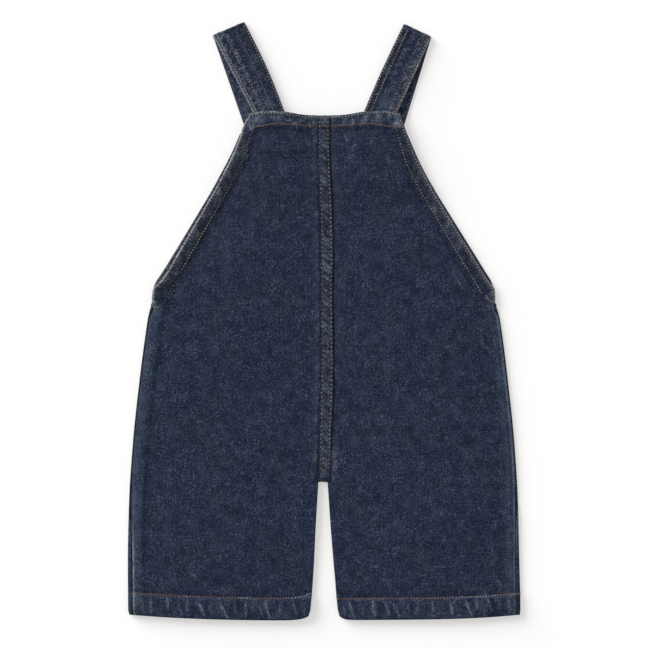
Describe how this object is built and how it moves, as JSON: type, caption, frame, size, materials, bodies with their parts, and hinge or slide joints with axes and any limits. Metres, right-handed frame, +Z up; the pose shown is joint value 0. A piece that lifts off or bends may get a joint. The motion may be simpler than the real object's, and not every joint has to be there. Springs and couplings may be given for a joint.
{
  "type": "denim dungarees",
  "caption": "Child's short-leg denim dungarees laid flat, back uppermost, with wide folded shoulder straps and a felled centre back seam.",
  "frame": {"origin": "the middle of the bounding box's underside, on the surface that the garment lies on", "axes": "+Y from the leg hems to the shoulder straps, +X to the right as seen from above, +Z up out of the surface, with the garment's back uppermost"},
  "size_m": [0.3059, 0.4676, 0.0089],
  "materials": {
    "denim": "dark indigo cotton twill, matt, faded along its worked edges",
    "worn_denim": "the same twill, rubbed paler where it stands proud",
    "button_resin": "smooth dark resin with a soft sheen"
  },
  "bodies": {
    "root": {"back_left_panel": "denim", "back_right_panel": "denim", "centre_back_fell": "worn_denim", "front_left_panel": "denim", "front_right_panel": "denim", "left_strap": "worn_denim", "right_strap": "worn_denim", "left_button": "button_resin", "right_button": "button_resin"}
  },
  "joints": []
}
